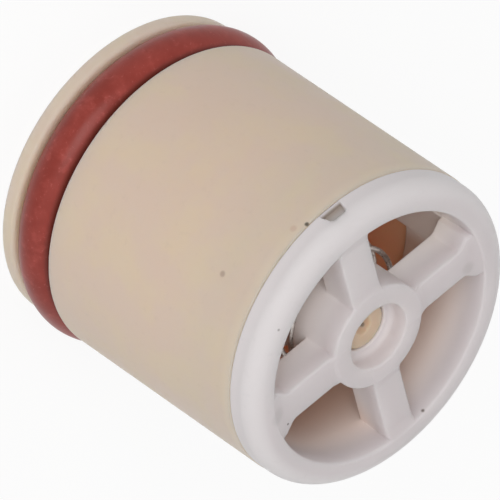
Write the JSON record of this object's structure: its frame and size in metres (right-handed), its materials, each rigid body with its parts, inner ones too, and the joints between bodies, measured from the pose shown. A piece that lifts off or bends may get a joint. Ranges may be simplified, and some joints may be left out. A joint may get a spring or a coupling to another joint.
{
  "type": "check valve cartridge",
  "caption": "Round push-in check valve insert: barrel with inlet flange and O-ring, a sprung poppet that lifts off its seat, and an outlet cage with windows.",
  "frame": {"origin": "centre of the inlet flange's face, on which the part stands", "axes": "+Z along the barrel's axis from the inlet to the outlet cage, which is the direction of flow; the notches in the cage's rim lie on the diagonals of +X and +Y and of -X and -Y"},
  "size_m": [0.0242, 0.0242, 0.0258],
  "materials": {
    "housing_plastic": "tan moulded acetal, fine matt",
    "o_ring_rubber": "red-brown rubber with a soft sheen",
    "cage_plastic": "white moulded acetal, satin",
    "spring_steel": "drawn stainless spring wire",
    "poppet_plastic": "tan moulded acetal, satin",
    "seal_rubber": "black rubber, matt",
    "retainer_plastic": "tan moulded acetal, satin"
  },
  "bodies": {
    "valve_body": {"housing": "housing_plastic", "housing_o_ring": "o_ring_rubber", "outlet_cage": "cage_plastic", "spring": "spring_steel"},
    "poppet_assembly": {"poppet": "poppet_plastic", "poppet_seal": "seal_rubber", "seal_retainer": "retainer_plastic"}
  },
  "joints": [
    {"name": "poppet_lift", "type": "slide", "parent": "valve_body", "child": "poppet_assembly", "axis": [0, 0, 1], "range_m": [0, 0.0044], "stiffness_N_per_m": 42, "springref_m": -0.006, "deforming": ["spring"]}
  ]
}
